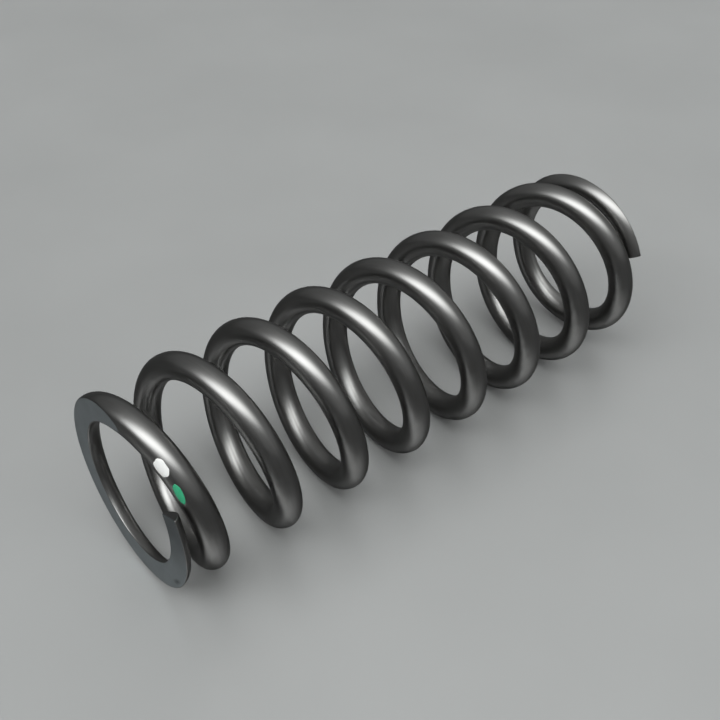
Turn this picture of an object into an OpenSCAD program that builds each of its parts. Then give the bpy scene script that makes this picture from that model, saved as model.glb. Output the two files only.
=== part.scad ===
// Compression spring of a rear shock absorber: round wire, wound right-handed, both ends closed and ground flat.
// It stands on one ground end, with the coil's axis on Z.

/* [Coil] */
// Diameter of the round wire, mm
wire_d = 11.5; // [8:0.5:14]
// Mean diameter of the open turns, between wire centres, mm
mean_d = 75; // [60:0.5:100]
// Free length between the ground ends, mm
free_length = 260; // [220:1:320]
// Turns of wire between the two tips
total_turns = 9; // [7:0.25:11]

/* [Closed ends] */
// Turns at each end that are wound nearly flat
flat_turns = 0.63; // [0.5:0.01:0.9]
// Rise of the nearly flat turns, mm per turn
flat_rise = 6; // [2:0.5:8]
// Turns over which the flat winding runs out into the open pitch
run_out_turns = 0.2; // [0.1:0.05:0.5]
// Amount by which the end turns are drawn in from the mean radius, mm
draw_in = 1.9; // [0:0.1:3]
// Turns from the tip at which the drawn-in wire begins to ease out
ease_out_from = 0.85; // [0.5:0.05:1.2]
// Turns over which the drawn-in wire eases out to the mean radius
ease_out_turns = 0.5; // [0.3:0.05:1]

/* [Ground faces] */
// Height of each ground face past the wire centre at the tip, mm
ground_past_centre = 2; // [0:0.25:3]
// Direction of the lower tip around the axis, degrees
tip_angle = 21; // [0:1:359]

/* [Hidden] */
$fn = 48;
wire_sides = 24;
mean_r = mean_d / 2;
half_turns = total_turns / 2;
tip_to_tip = free_length + 2 * ground_past_centre;
// The two halves of the coil are alike, so the open pitch follows from half the length
open_turns = half_turns - flat_turns - run_out_turns / 2;
extra_rise = (tip_to_tip / 2 - flat_rise * half_turns) / open_turns;
// Each stretch of wire between two stations is a pair of arcs that meet in line
stations_per_turn = 5;
stretches = ceil(total_turns * stations_per_turn);
// Arcs stop this short of each other, in degrees, and a ball larger than the wire by a hair fills the joint
joint_gap = 0.1;
ball_over = 0.01;
steel = [0.26, 0.25, 0.25];

function unit(v) = v / norm(v);
function clamped(u) = min(max(u, 0), 1);
function eased(u) = let(c = clamped(u)) c * c * (3 - 2 * c);
function eased_slope(u) = let(c = clamped(u)) 6 * c * (1 - c);
// Integral of eased(), which goes on as a straight line past 1
function eased_sum(u) = let(c = clamped(u)) pow(c, 3) - pow(c, 4) / 2 + max(u - 1, 0);

// Height over the tip's centre and radius of the wire's centre, at a number of turns from the nearer tip
function rise(turns) = flat_rise * turns
    + extra_rise * run_out_turns * eased_sum((turns - flat_turns) / run_out_turns);
function radius(turns) = mean_r - draw_in * (1 - eased((turns - ease_out_from) / ease_out_turns));

// Pitch and widening of the wire's centre, in mm per turn, which are the slopes of the two above
function pitch(turns) = flat_rise + extra_rise * eased((turns - flat_turns) / run_out_turns);
function widening(turns) = draw_in * eased_slope((turns - ease_out_from) / ease_out_turns) / ease_out_turns;

// Centre and heading of the wire, at a number of turns from the lower tip
function from_tip(turns) = min(turns, total_turns - turns);
function height(turns) = (turns < half_turns ? rise(turns) : tip_to_tip - rise(total_turns - turns))
    - ground_past_centre;
function centre(turns) = let(
    r = radius(from_tip(turns)),
    angle = tip_angle + 360 * turns
) [r * cos(angle), r * sin(angle), height(turns)];
function heading(turns) = let(
    around = 2 * PI * radius(from_tip(turns)),
    outward = (turns < half_turns ? 1 : -1) * widening(from_tip(turns)),
    angle = tip_angle + 360 * turns
) unit([
    outward * cos(angle) - around * sin(angle),
    outward * sin(angle) + around * cos(angle),
    pitch(from_tip(turns))
]);

// Distance along both headings at which a pair of arcs meets in line
function meeting_reach(chord, start, end) = let(
    along = chord * (start + end),
    turning = 1 - start * end
) (sqrt(along * along + 2 * turning * chord * chord) - along) / (2 * turning);

// Arc of round wire that leaves a point on a heading and ends at another point, joined to the wire before it
module wire_arc(point, heading, goal, joined) {
    chord = goal - point;
    along = chord * heading;
    aside = chord - along * heading;
    bend_radius = chord * chord / (2 * norm(aside));
    bend_angle = 2 * atan2(norm(aside), along);
    outward = -unit(aside);
    bend_axis = cross(outward, heading);
    middle = point - bend_radius * outward;
    multmatrix([
        [outward.x, heading.x, bend_axis.x, middle.x],
        [outward.y, heading.y, bend_axis.y, middle.y],
        [outward.z, heading.z, bend_axis.z, middle.z]
    ]) {
        rotate([0, 0, joint_gap])
            rotate_extrude(angle = bend_angle - 2 * joint_gap)
                translate([bend_radius, 0])
                    circle(d = wire_d, $fn = wire_sides);
        if (joined)
            translate([bend_radius, 0, 0])
                rotate([90, 0, 0])
                    sphere(d = wire_d + 2 * ball_over, $fn = wire_sides);
    }
}

// Stretch of wire between two stations, as two arcs
module wire_stretch(index) {
    from = total_turns * index / stretches;
    to = total_turns * (index + 1) / stretches;
    start = centre(from);
    end = centre(to);
    reach = meeting_reach(end - start, heading(from), heading(to));
    leaving = start + reach * heading(from);
    arriving = end - reach * heading(to);
    meeting = (leaving + arriving) / 2;
    wire_arc(start, heading(from), meeting, joined = index > 0);
    wire_arc(meeting, unit(arriving - leaving), end, joined = true);
}

module wire() {
    for (index = [0 : stretches - 1]) {
        wire_stretch(index);
    }
}

// Block that stands for all that the grinding takes away past a face
module ground_away(level) {
    width = 2 * (mean_d + wire_d);
    translate([-width / 2, -width / 2, level])
        cube([width, width, wire_d + tip_to_tip]);
}

module coil_spring() {
    color(steel)
        difference() {
            wire();
            mirror([0, 0, 1])
                ground_away(0);
            ground_away(free_length);
        }
}

coil_spring();
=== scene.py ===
"""Looks of the shock absorber spring: satin wire, ground ends and two paint dabs, as it lies on a bench."""
import math

import bpy
import numpy as np
from mathutils import Matrix


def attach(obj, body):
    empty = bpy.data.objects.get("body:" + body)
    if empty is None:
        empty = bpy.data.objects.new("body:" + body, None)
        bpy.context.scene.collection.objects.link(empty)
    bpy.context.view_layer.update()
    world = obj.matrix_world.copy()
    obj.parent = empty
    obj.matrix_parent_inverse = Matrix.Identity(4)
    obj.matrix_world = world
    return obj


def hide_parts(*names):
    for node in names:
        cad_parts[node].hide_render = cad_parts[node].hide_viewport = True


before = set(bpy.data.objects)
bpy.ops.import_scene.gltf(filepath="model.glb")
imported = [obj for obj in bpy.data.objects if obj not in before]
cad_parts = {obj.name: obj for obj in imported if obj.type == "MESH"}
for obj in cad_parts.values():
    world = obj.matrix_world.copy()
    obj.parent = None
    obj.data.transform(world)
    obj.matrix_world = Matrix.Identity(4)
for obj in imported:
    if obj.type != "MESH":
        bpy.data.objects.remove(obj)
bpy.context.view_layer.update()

MM = 0.001

# Sizes of the coil, as in the part's source
WIRE_R = 5.75 * MM
MEAN_R = 37.5 * MM
LENGTH = 260 * MM
TURNS = 9
FLAT_TURNS, FLAT_RISE, RUN_OUT_TURNS = 0.63, 6 * MM, 0.2
DRAW_IN, EASE_OUT_FROM, EASE_OUT_TURNS = 1.9 * MM, 0.85, 0.5
GROUND_PAST = 2 * MM
TIP_ANGLE = math.radians(21)
TIP_TO_TIP = LENGTH + 2 * GROUND_PAST
# The two halves of the coil are alike, so the open pitch follows from half the length
OPEN_TURNS = TURNS / 2 - FLAT_TURNS - RUN_OUT_TURNS / 2
EXTRA_RISE = (TIP_TO_TIP / 2 - FLAT_RISE * TURNS / 2) / OPEN_TURNS

# Broken edge around the ground faces and the wire tips
EDGE = 0.3 * MM

# Stations along each end turn, and along all the turns between them
END_STATIONS, BETWEEN_STATIONS = 240, 840
# Steps round half a section, and across a ground face
ARC_STEPS, FLAT_STEPS = 24, 4

# Directions of the scene: the coil's axis, the way up from the bench it lies on, and the way across
AXIS = np.array([0.0, 0.0, 1.0])
BENCH_UP = np.array([1.0, -1.0, 0.0]) / math.sqrt(2)
ACROSS = np.cross(AXIS, BENCH_UP)


def eased(u):
    """Smooth step from 0 to 1 over u from 0 to 1."""
    c = np.clip(u, 0, 1)
    return c * c * (3 - 2 * c)


def eased_sum(u):
    """Integral of the smooth step, which goes on as a straight line past 1."""
    c = np.clip(u, 0, 1)
    return c**3 - c**4 / 2 + np.maximum(u - 1, 0)


def unit(v):
    """Vectors of length 1 along v."""
    return v / np.linalg.norm(v, axis=-1, keepdims=True)


def blend(a, b, share):
    """Value that goes from a at share 0 to b at share 1."""
    return a + (b - a) * share


def wire_centre(turns):
    """Centre of the wire at a number of turns from the lower tip.

    It is a helix whose rise and radius ease near both tips."""
    near = np.minimum(turns, TURNS - turns)
    radius = MEAN_R - DRAW_IN * (1 - eased((near - EASE_OUT_FROM) / EASE_OUT_TURNS))
    rise = FLAT_RISE * near + EXTRA_RISE * RUN_OUT_TURNS * eased_sum((near - FLAT_TURNS) / RUN_OUT_TURNS)
    angle = TIP_ANGLE + 2 * math.pi * turns
    height = np.where(turns < TURNS / 2, rise, TIP_TO_TIP - rise) - GROUND_PAST
    return np.stack([radius * np.cos(angle), radius * np.sin(angle), height], -1)


def wire_frame(turns):
    """Centre of the wire, its outward direction and its upward direction, both square to the wire."""
    step = 5e-4
    heading = unit(wire_centre(turns + step) - wire_centre(turns - step))
    centre = wire_centre(turns)
    outward = centre * [1, 1, 0]
    outward = unit(outward - (outward * heading).sum(-1, keepdims=True) * heading)
    return centre, outward, np.cross(outward, heading)


def on_wire(turns, angle, lift):
    """Point at a number of turns along the wire, at an angle round it from outward to up, lifted off it."""
    centre, outward, up = wire_frame(turns)
    around = np.cos(angle)[..., None] * outward + np.sin(angle)[..., None] * up
    return centre + (WIRE_R + lift)[..., None] * around


def broken_edge(arc_end, half_width, level, cut):
    """Points from a section's arc to its flat: a quadratic curve drawn towards the sharp corner."""
    share = np.array([1, 2, 3]) / 3
    from_arc, from_corner, from_flat = (1 - share) ** 2, 2 * share * (1 - share), share**2
    x = from_arc * np.cos(arc_end) + from_corner * half_width + from_flat * (half_width - cut)
    y = from_arc * np.sin(arc_end) + (from_corner + from_flat) * level
    return np.stack([x, y], -1)


def section_half(low, high):
    """Outer half of each station's section, of radius 1, from the lower flat to the upper one.

    It is an arc with a broken edge at each end. low and high are the heights of the two flats, and a flat at
    height -1 or 1 has no width and no edge. Returns each point's outward and upward share."""
    largest_cut, share_of_flat = EDGE / WIRE_R, 0.3
    arc_ends, edges = [], []
    for level, into_arc in ((low, 1), (high, -1)):
        half_width = np.sqrt(1 - level**2)
        cut = np.minimum(largest_cut, share_of_flat * half_width)
        arc_end = np.arcsin(level) + into_arc * cut
        arc_ends.append(arc_end)
        edges.append(broken_edge(arc_end, half_width, level, cut))
    angle = blend(*arc_ends, np.linspace(0, 1, ARC_STEPS + 1))
    arc = np.stack([np.cos(angle), np.sin(angle)], -1)
    lower_edge, upper_edge = edges
    return np.concatenate([lower_edge[:, ::-1], arc, upper_edge], 1)


def across_flat(corner):
    """Points across a flat, between a corner of each station's section and its mirror image."""
    share = np.linspace(0, 1, FLAT_STEPS + 1)[1:-1]
    x = blend(corner[:, :1], -corner[:, :1], share)
    return np.stack([x, np.broadcast_to(corner[:, 1:], x.shape)], -1)


def wire_stations():
    """Turns at which the section is drawn, closer together on the end turns, and how far each one draws in.

    The outermost ones are the cut tips, drawn in by the broken edge. The next ones stand as far behind."""
    end_turn = np.linspace(0, 1, END_STATIONS + 1)
    between = np.linspace(1, TURNS - 1, BETWEEN_STATIONS + 1)[1:-1]
    turns = np.concatenate([end_turn, between, TURNS - end_turn[::-1]])
    first_turns = 0.01
    first_length = np.linalg.norm(wire_centre(first_turns) - wire_centre(0.0))
    edge_turns = first_turns * EDGE / first_length
    turns[[0, -1]] = edge_turns, TURNS - edge_turns
    turns = np.concatenate([[0], turns, [TURNS]])
    drawn_in = np.zeros(len(turns))
    drawn_in[[0, -1]] = EDGE / WIRE_R
    return turns, drawn_in


def wire_surface():
    """Surface of the whole wire: a section swept along the coil.

    Each section is a circle cut level by the two ground planes, at centre + radius * (x * outward + y * up).
    Returns the points and their place on the wire, by station and step round the section, and which steps
    cross a ground face. The place is x, y and the way along the wire in wire radii."""
    turns, drawn_in = wire_stations()
    centre, outward, up = wire_frame(turns)
    low, high = (np.clip((face - centre[:, 2:]) / (WIRE_R * up[:, 2:]), -1, 1) for face in (0, LENGTH))
    outer = section_half(low, high)
    inner = outer[:, ::-1] * [-1, 1]
    ring = np.concatenate([outer, across_flat(outer[:, -1]), inner, across_flat(inner[:, -1])], 1)
    # At a tip the section draws in towards its own middle
    middle = (ring.max(1, keepdims=True) + ring.min(1, keepdims=True)) / 2
    reach = np.linalg.norm(ring - middle, axis=-1, keepdims=True)
    ring = middle + (ring - middle) * (1 - drawn_in[:, None, None] / np.maximum(reach, 1e-9))
    x, y = ring[..., :1], ring[..., 1:]
    points = centre[:, None] + WIRE_R * (x * outward[:, None] + y * up[:, None])
    lengths = np.linalg.norm(np.diff(centre, axis=0), axis=-1)
    along = np.concatenate([[0], np.cumsum(lengths)]) / WIRE_R
    place = np.concatenate([ring, np.broadcast_to(along[:, None, None], x.shape)], -1)
    round_steps = outer.shape[1] - 1
    crosses_flat = np.tile(np.repeat([False, True], [round_steps, FLAT_STEPS]), 2)
    return points, place, crosses_flat


def ring_quads(rows, columns):
    """Numbers of the points of a grid whose rows are closed rings, and the quads between the rows."""
    index = np.arange(rows * columns).reshape(rows, columns)
    ahead = np.roll(index, -1, 1)
    quads = np.stack([index[:-1], index[1:], ahead[1:], ahead[:-1]], -1).reshape(-1, 4)
    return index, quads


def joined(points):
    """Joins points that coincide. Returns the kept points' numbers, and each point's new number."""
    grid = 0.001 * MM
    keys = np.round(points / grid).astype(np.int64)
    _, kept, number = np.unique(keys, axis=0, return_index=True, return_inverse=True)
    return kept, number.reshape(-1)


def wire_mesh():
    """Closed mesh of the wire: the swept surface, with a cap at each tip.

    Where a flat has no width, its quads have no area and are left out, and at its ends they become
    triangles. Returns the points, their place on the wire, the faces, and which faces are ground. The two
    caps come last."""
    points, place, crosses_flat = wire_surface()
    index, quads = ring_quads(*points.shape[:2])
    points, place = points.reshape(-1, 3), place.reshape(-1, 3)
    kept, number = joined(points)
    corners = number[quads]
    repeated = corners == np.roll(corners, 1, 1)
    is_quad, is_triangle = (repeated.sum(1) == count for count in (0, 1))
    triangles = corners[is_triangle][~repeated[is_triangle]].reshape(-1, 3)
    caps = [number[index[0]], number[index[-1, ::-1]]]
    caps = [ring[ring != np.roll(ring, 1)].tolist() for ring in caps]
    faces = corners[is_quad].tolist() + triangles.tolist() + caps
    ground = np.tile(crosses_flat, len(index) - 1)
    ground = np.concatenate([ground[is_quad], ground[is_triangle], [False] * len(caps)])
    return points[kept], place[kept], faces, ground


def mesh_object(name, points, faces, smooth=True):
    """A mesh object at the origin, from points in metres and lists of corners."""
    mesh = bpy.data.meshes.new(name)
    mesh.from_pydata(np.asarray(points).tolist(), [], faces)
    mesh.polygons.foreach_set("use_smooth", np.broadcast_to(np.asarray(smooth, bool), len(faces)))
    mesh.update()
    made = bpy.data.objects.new(name, mesh)
    bpy.context.scene.collection.objects.link(made)
    return made


class Socket:
    """An output socket of a shader tree. Arithmetic adds Math nodes, and node() adds any other node."""

    def __init__(self, tree, socket=None):
        self.tree = tree
        self.socket = socket

    def node(self, kind, sockets=(), out=0, **settings):
        """Adds a node of a kind with its settings.

        sockets maps its inputs, by name or number, to values or other sockets. out is the output to use."""
        made = self.tree.nodes.new("ShaderNode" + kind)
        for name, value in settings.items():
            setattr(made, name, value)
        for name, value in dict(sockets).items():
            if isinstance(value, Socket):
                self.tree.links.new(value.socket, made.inputs[name])
            else:
                made.inputs[name].default_value = value
        return Socket(self.tree, made.outputs[out])

    def maths(self, operation, *values):
        """Math node of an operation on values or other sockets."""
        return self.node("Math", enumerate(values), operation=operation)

    def __add__(self, other):
        return self.maths("ADD", self, other)

    def __radd__(self, other):
        return self.maths("ADD", other, self)

    def __sub__(self, other):
        return self.maths("SUBTRACT", self, other)

    def __rsub__(self, other):
        return self.maths("SUBTRACT", other, self)

    def __mul__(self, other):
        return self.maths("MULTIPLY", self, other)

    def __rmul__(self, other):
        return self.maths("MULTIPLY", other, self)

    def __truediv__(self, other):
        return self.maths("DIVIDE", self, other)

    def vector(self, operation, *others, out=0):
        """Vector Math node of an operation on this vector and other ones."""
        return self.node("VectorMath", enumerate((self, *others)), out, operation=operation)

    def along(self, direction):
        """How far this vector goes along a direction."""
        return self.vector("DOT_PRODUCT", tuple(direction), out="Value")

    def scaled(self, factor):
        """This colour or vector times a number."""
        return self.node("VectorMath", {0: self, "Scale": factor}, operation="SCALE")

    def noise(self, stretch, detail=3.0, roughness=0.5):
        """Noise of about 0 to 1 at this vector, stretched by three factors."""
        values = {"Vector": self.vector("MULTIPLY", stretch), "Scale": 1.0}
        return self.node("TexNoise", {**values, "Detail": detail, "Roughness": roughness}, "Fac")

    def between(self, low, high):
        """0 at low, 1 at high, straight between and clamped."""
        return self.node("MapRange", {"Value": self, "From Min": low, "From Max": high}, clamp=True)

    def colour(self, low, high):
        """Colour that goes from low at 0 to high at 1."""
        return self.node("Mix", {0: self, 6: (*low, 1), 7: (*high, 1)}, 2, data_type="RGBA")

    def bump(self, strength, distance):
        """Normal of a surface with this height on it."""
        return self.node("Bump", {"Height": self, "Strength": strength, "Distance": distance}, "Normal")


def shader_tree(owner):
    """Empty shader tree of a material or a world, with its output node."""
    owner.use_nodes = True
    owner.node_tree.nodes.clear()
    kind = "World" if isinstance(owner, bpy.types.World) else "Material"
    return Socket(owner.node_tree), owner.node_tree.nodes.new("ShaderNodeOutput" + kind)


def material(name, values, surface):
    """Principled material. values are its uniform sockets, and surface(tree) gives the sockets that vary."""
    made = bpy.data.materials.new(name)
    tree, output = shader_tree(made)
    shader = tree.node("BsdfPrincipled", {**values, **surface(tree)})
    made.node_tree.links.new(shader.socket, output.inputs["Surface"])
    return made


def wire_place(tree):
    """Place on the wire: outward and upward share of its section, and the way along it in wire radii."""
    return tree.node("Attribute", attribute_name="wire_place", out="Vector")


def object_place(tree):
    """Place in the object, in metres."""
    return tree.node("TexCoord", out="Object")


def camera_ray(tree):
    """1 for what the camera sees itself, 0 for what lights the scene or is seen in a reflection."""
    return tree.node("LightPath", out="Is Camera Ray")


def steel_surface(tree):
    """Dark satin wire: fine lines along the wire, soft cloudy patches and a fine grain."""
    dark, light = (0.238, 0.235, 0.229), (0.297, 0.294, 0.288)
    place = wire_place(tree)
    lines = place.noise((16, 16, 0.3), 4.0, 0.6)
    clouds = place.noise((0.9, 0.9, 0.35))
    grain = place.noise((9, 9, 9), 2.0)
    tone = (0.6 * clouds + 0.4 * lines).between(0.3, 0.7)
    return {
        "Base Color": tone.colour(dark, light),
        "Roughness": 0.265 + 0.03 * clouds + 0.01 * lines + 0.02 * grain,
        "Normal": (0.3 * lines + grain).bump(0.03, 0.1 * MM),
    }


def ground_surface(tree):
    """Ground end face: grinding lines across it and faint stains.

    The lower face also has a dark smear by its outer edge, painted shade near the wire tip and painted light
    farther round."""
    dark, light = (0.33, 0.362, 0.376), (0.4, 0.437, 0.452)
    smear_middle, smear_squeeze = (4.4 * MM, 38.5 * MM, 0), (0.33, 1, 1)
    smear_inside, smear_outside, smear_ragged = 0.6 * MM, 2 * MM, 0.8 * MM
    smear_tone = 0.45
    # Painted shade darkens the lower face near the wire tip, and painted light brightens the faces farther
    # from it
    tip, tip_near, tip_far = tuple(wire_centre(0.0)), 8 * MM, 32 * MM
    painted_shade_at_tip, painted_light_far_from_tip = 0.6, 1.15
    place = object_place(tree)
    lines = place.noise((2600, 260, 0), 3.0, 0.6)
    stains = place.noise((140, 140, 140), 4.0)
    clean = (0.7 * stains + 0.3 * lines).between(0.3, 0.7).colour(dark, light)
    off_smear = place.vector("SUBTRACT", smear_middle).vector("MULTIPLY", smear_squeeze)
    off_smear = off_smear.vector("LENGTH", out="Value") + smear_ragged * stains
    off_tip = place.vector("DISTANCE", tip, out="Value")
    smear_shade = blend(smear_tone, 1, off_smear.between(smear_inside, smear_outside))
    # Painted shade and light: darker near the wire tip, lighter farther from it
    painted_tip_shade_and_light = blend(painted_shade_at_tip, painted_light_far_from_tip, off_tip.between(tip_near, tip_far))
    return {
        "Base Color": clean.scaled(smear_shade * painted_tip_shade_and_light),
        "Roughness": 0.4 + 0.12 * lines + 0.1 * stains,
        "Normal": lines.bump(0.12, 0.05 * MM),
    }


def paint_surface(dark, light):
    """Dabbed-on paint between two colours, with slight changes of thickness."""

    def surface(tree):
        place = object_place(tree)
        patches = place.noise((420, 420, 420))
        fine = place.noise((1500, 1500, 1500), 2.0)
        return {
            "Base Color": (0.7 * patches + 0.3 * fine).between(0.3, 0.7).colour(dark, light),
            "Roughness": 0.3 + 0.2 * fine,
            "Normal": (patches + 0.3 * fine).bump(0.25, 0.15 * MM),
        }

    return surface


def spring():
    """The wire with both ground faces, as one closed piece in place of the CAD solid."""
    points, place, faces, ground = wire_mesh()
    # The ground faces and the two caps are flat
    smooth = ~ground
    smooth[-2:] = False
    made = mesh_object("coil_spring_wire", points, faces, smooth)
    attribute = made.data.attributes.new("wire_place", "FLOAT_VECTOR", "POINT")
    attribute.data.foreach_set("vector", place.astype(np.float32).ravel())
    made.data.materials.append(material("spring_steel", {"Metallic": 1.0}, steel_surface))
    made.data.materials.append(material("ground_steel", {"Metallic": 1.0}, ground_surface))
    made.data.polygons.foreach_set("material_index", ground.astype(np.int32))
    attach(made, "root")
    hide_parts("coil_spring")


def dab(name, slot, turns, half_turns, angle, half_angle, power, skew, dark, light):
    """Dab of paint on the wire: a thin lens over a rounded outline, as a grid of rings by spokes.

    The outline is a superellipse of a power, in turns along the wire and degrees round it, that leans by skew
    and has an uneven edge. The top stands proud by a thickness that falls to nothing at the edge, and the
    underside lies inside the wire."""
    rings, spokes = 14, 64
    thickness, sunk, edge_sunk = 0.12 * MM, 0.06 * MM, 0.02 * MM
    around = np.linspace(0, 2 * math.pi, spokes, endpoint=False)
    cos, sin = np.cos(around), np.sin(around)
    uneven = 1 + 0.035 * np.sin(3 * around + 1.1) + 0.025 * np.sin(7 * around + 0.4)
    outline = uneven * (np.abs(cos) ** power + np.abs(sin) ** power) ** (-1 / power)
    share = np.linspace(0, 1, rings + 1)[1:]
    top = thickness * (1 - share**4) - edge_sunk * share**8
    underside = np.full(rings - 1, -sunk)
    # The rings go out over the top and back in along the underside, and a pole closes the middle of each
    share = np.concatenate([share, share[-2::-1]])
    x = np.append(share[:, None] * outline * cos, [0, 0])
    y = np.append(share[:, None] * outline * sin, [0, 0])
    lift = np.append(np.repeat([*top, *underside], spokes), [thickness, -sunk])
    points = on_wire(turns + half_turns * x, np.radians(angle + half_angle * (y + skew * x)), lift)
    index, quads = ring_quads(len(share), spokes)
    top_pole, under_pole = np.full(spokes, index.size), np.full(spokes, index.size + 1)
    top_fan = np.stack([top_pole, index[0], np.roll(index[0], -1)], -1)
    under_fan = np.stack([under_pole, np.roll(index[-1], -1), index[-1]], -1)
    made = mesh_object(name, points, quads.tolist() + top_fan.tolist() + under_fan.tolist())
    made.data.materials.append(material(slot, {}, paint_surface(dark, light)))
    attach(made, "root")


def plane(name, middle, right, up, half, surface):
    """Square plane of the stage, which faces cross(right, up)."""
    corners = [middle + half * (a * right + b * up) for a, b in ((-1, -1), (1, -1), (1, 1), (-1, 1))]
    made = mesh_object(name, corners, [[0, 1, 2, 3]])
    made.data.materials.append(surface)


def one_sided(name, base, look, camera_only):
    """Pale surface with faint patches, seen from its front only. look(tree, tone) gives its shader."""
    uneven = 0.03
    darker, lighter = ([share * c for c in base] for share in (1 - uneven, 1 + uneven))
    made = bpy.data.materials.new(name)
    tree, output = shader_tree(made)
    tone = object_place(tree).noise((9, 9, 9)).between(0.3, 0.7).colour(darker, lighter)
    front = 1 - tree.node("NewGeometry", out="Backfacing")
    if camera_only:
        front = front * camera_ray(tree)
    surface = tree.node("MixShader", {0: front, 1: tree.node("BsdfTransparent"), 2: look(tree, tone)})
    made.node_tree.links.new(surface.socket, output.inputs["Surface"])
    return made


def bench_look(tree, tone):
    """Satin bench: pale and dulled as the camera sees it, darker and all metal as the wire mirrors it."""
    satin = {"Roughness": 0.35}
    dulled = tree.node("BsdfPrincipled", {**satin, "Base Color": tone, "Metallic": 0.3})
    mirrored = tree.node("BsdfPrincipled", {**satin, "Base Color": (0.2, 0.2, 0.2, 1), "Metallic": 1.0})
    return tree.node("MixShader", {0: camera_ray(tree), 1: mirrored, 2: dulled})


def floor_look(tree, tone):
    """Matt floor that gives off most of its light itself, because little of the room's light reaches it."""
    matt = {"Base Color": tone, "Roughness": 1.0, "Specular IOR Level": 0.0}
    return tree.node("BsdfPrincipled", {**matt, "Emission Color": tone, "Emission Strength": 0.8})


def stage():
    """The bench that the spring lies on in the photo's view, and the floor under the standing spring."""
    bench_half, bench_clear = 2.0, 0.02 * MM
    bench_middle = LENGTH / 2 * AXIS - (MEAN_R + WIRE_R + bench_clear) * BENCH_UP
    bench = one_sided("bench", (0.447, 0.452, 0.448), bench_look, camera_only=False)
    plane("bench", bench_middle, ACROSS, AXIS, bench_half, bench)
    floor_half, floor_clear = 12.0, 0.2 * MM
    floor = one_sided("floor", (0.6, 0.61, 0.61), floor_look, camera_only=True)
    plane("floor", -floor_clear * AXIS, np.array([1.0, 0, 0]), np.array([0, 1.0, 0]), floor_half, floor)


def lights():
    """One large soft glow over the bench, towards the lower end, in a dim room that darkens to the horizon.

    The glow falls off like a bell round the place at which a direction meets a level plane one unit over the
    bench. It is longer one way than the other and turned from the coil's axis. The room is its walls and a
    ceiling, lighter towards one side. The camera sees a plain pale backdrop instead."""
    turn = 0.56
    long_way = math.cos(turn) * AXIS + math.sin(turn) * ACROSS
    side_way = math.cos(turn) * ACROSS - math.sin(turn) * AXIS
    long_middle, side_middle = -0.63, 0.455
    long_reach, side_reach = 1.3, 0.43
    lighter_way, lighter_share = 0.86 * AXIS + 0.51 * ACROSS, 0.45
    horizon, wall_foot = 0.02, 0.21
    bell_power, ceiling_power = 1.5, 5.2
    glow_level, backdrop_level = 4.4, 0.62
    wall_level, ceiling_level, least_level = 0.18, 0.47, 0.02
    world = bpy.data.worlds.new("room")
    bpy.context.scene.world = world
    tree, output = shader_tree(world)
    way = tree.node("TexCoord", out="Generated")
    up = way.along(BENCH_UP)
    height = up.maths("MAXIMUM", up, horizon)
    along = (way.along(long_way) / height - long_middle) / long_reach
    aside = (way.along(side_way) / height - side_middle) / side_reach
    off_middle = up.maths("POWER", along * along + aside * aside, bell_power)
    glow = up.maths("EXPONENT", 0 - off_middle) * up.between(0, horizon)
    wall = up.between(0, wall_foot)
    ceiling = up.maths("POWER", up.between(0, 1), ceiling_power)
    lighter = 1 + lighter_share * way.along(lighter_way)
    room = least_level + (wall_level * wall + ceiling_level * ceiling) * lighter
    seen = camera_ray(tree)
    level = (room + glow_level * glow) * (1 - seen) + backdrop_level * seen
    background = tree.node("Background", {"Color": (0.98, 1.0, 1.0, 1), "Strength": level})
    world.node_tree.links.new(background.socket, output.inputs["Surface"])


def camera():
    """Camera at the photo's place, fitted to the wire's edges and level with the bench."""
    place = np.array([0.38637, -0.01863, -0.10098])
    back = unit(np.array([0.86955, -0.03468, -0.49262]))
    right = unit(np.cross(BENCH_UP, back))
    up = np.cross(back, right)
    data = bpy.data.cameras.new("photo_view")
    data.sensor_width, data.lens = 36, 50.33
    data.clip_start, data.clip_end = 0.01, 20
    made = bpy.data.objects.new("photo_view", data)
    bpy.context.scene.collection.objects.link(made)
    rows = np.stack([right, up, back, place], -1).tolist()
    made.matrix_world = Matrix([*rows, (0, 0, 0, 1)])
    bpy.context.scene.camera = made


camera()
spring()
dab(
    "dab_white", "white_paint", turns=0.9222, half_turns=0.015, angle=305, half_angle=25,
    power=2.6, skew=0.0, dark=(0.9, 0.9, 0.88), light=(0.96, 0.96, 0.94),
)
dab(
    "dab_green", "green_paint", turns=0.968, half_turns=0.0172, angle=305, half_angle=17,
    power=2.0, skew=-0.2, dark=(0.034, 0.37, 0.18), light=(0.053, 0.455, 0.235),
)
stage()
lights()
bpy.context.scene.view_settings.view_transform = "Standard"
